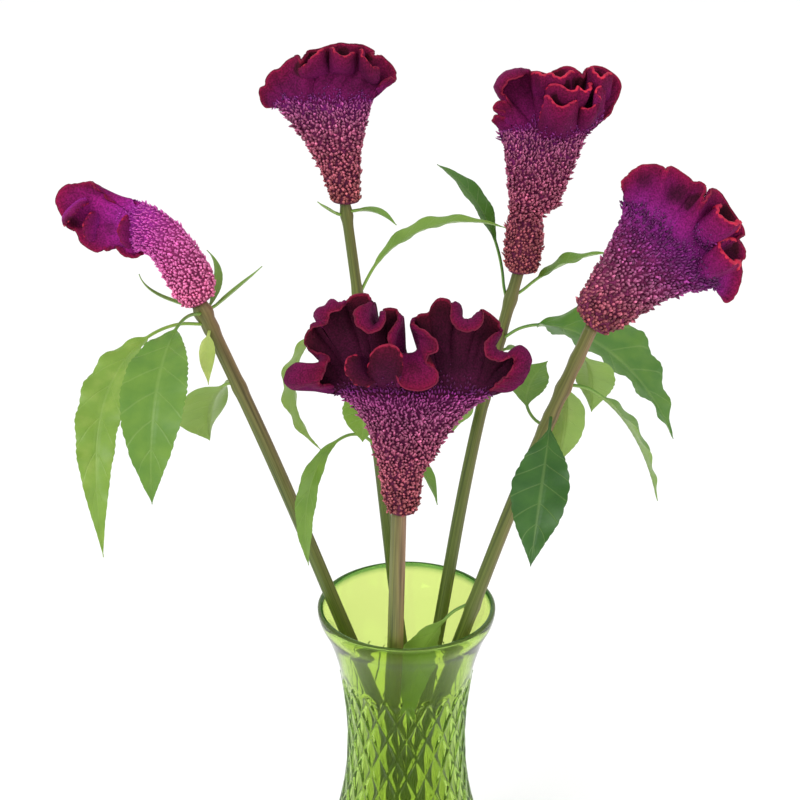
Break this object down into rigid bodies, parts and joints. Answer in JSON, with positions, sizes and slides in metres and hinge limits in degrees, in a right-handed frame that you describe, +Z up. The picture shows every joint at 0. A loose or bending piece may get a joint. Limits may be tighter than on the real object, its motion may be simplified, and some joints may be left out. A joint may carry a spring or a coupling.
{
  "type": "cockscomb celosia bouquet in a vase",
  "caption": "Cut cockscomb celosia stems with crested velvet heads and hanging leaves, standing in a flared glass vase with a diamond lattice.",
  "frame": {"origin": "centre of the flat underside of the vase's foot", "axes": "+Z up along the vase's axis, -Y towards the viewer of the picture, +X to the right"},
  "size_m": [0.3641, 0.2306, 0.5597],
  "materials": {
    "green_glass": "gloss",
    "stem_bark": "satin",
    "crest_velvet": "matte",
    "leaf_green": "matte"
  },
  "bodies": {
    "root": {"bract_a5": "leaf_green", "bract_a6": "leaf_green", "bract_a7": "leaf_green", "bract_b1": "leaf_green", "bract_b2": "leaf_green", "head_a": "crest_velvet", "head_b": "crest_velvet", "head_c": "crest_velvet", "head_d": "crest_velvet", "head_e": "crest_velvet", "leaf_a1": "leaf_green", "leaf_a2": "leaf_green", "leaf_a3": "leaf_green", "leaf_a4": "leaf_green", "leaf_b3": "leaf_green", "leaf_b4": "leaf_green", "leaf_b5": "leaf_green", "leaf_b6": "leaf_green", "leaf_b7": "leaf_green", "leaf_c1": "leaf_green", "leaf_c2": "leaf_green", "leaf_c3": "leaf_green", "leaf_c4": "leaf_green", "leaf_c5": "leaf_green", "leaf_d1": "leaf_green", "leaf_d2": "leaf_green", "leaf_d3": "leaf_green", "leaf_d4": "leaf_green", "leaf_d5": "leaf_green", "leaf_d6": "leaf_green", "stem_a": "stem_bark", "stem_b": "stem_bark", "stem_c": "stem_bark", "stem_d": "stem_bark", "stem_e": "stem_bark", "vase": "green_glass"}
  },
  "joints": []
}
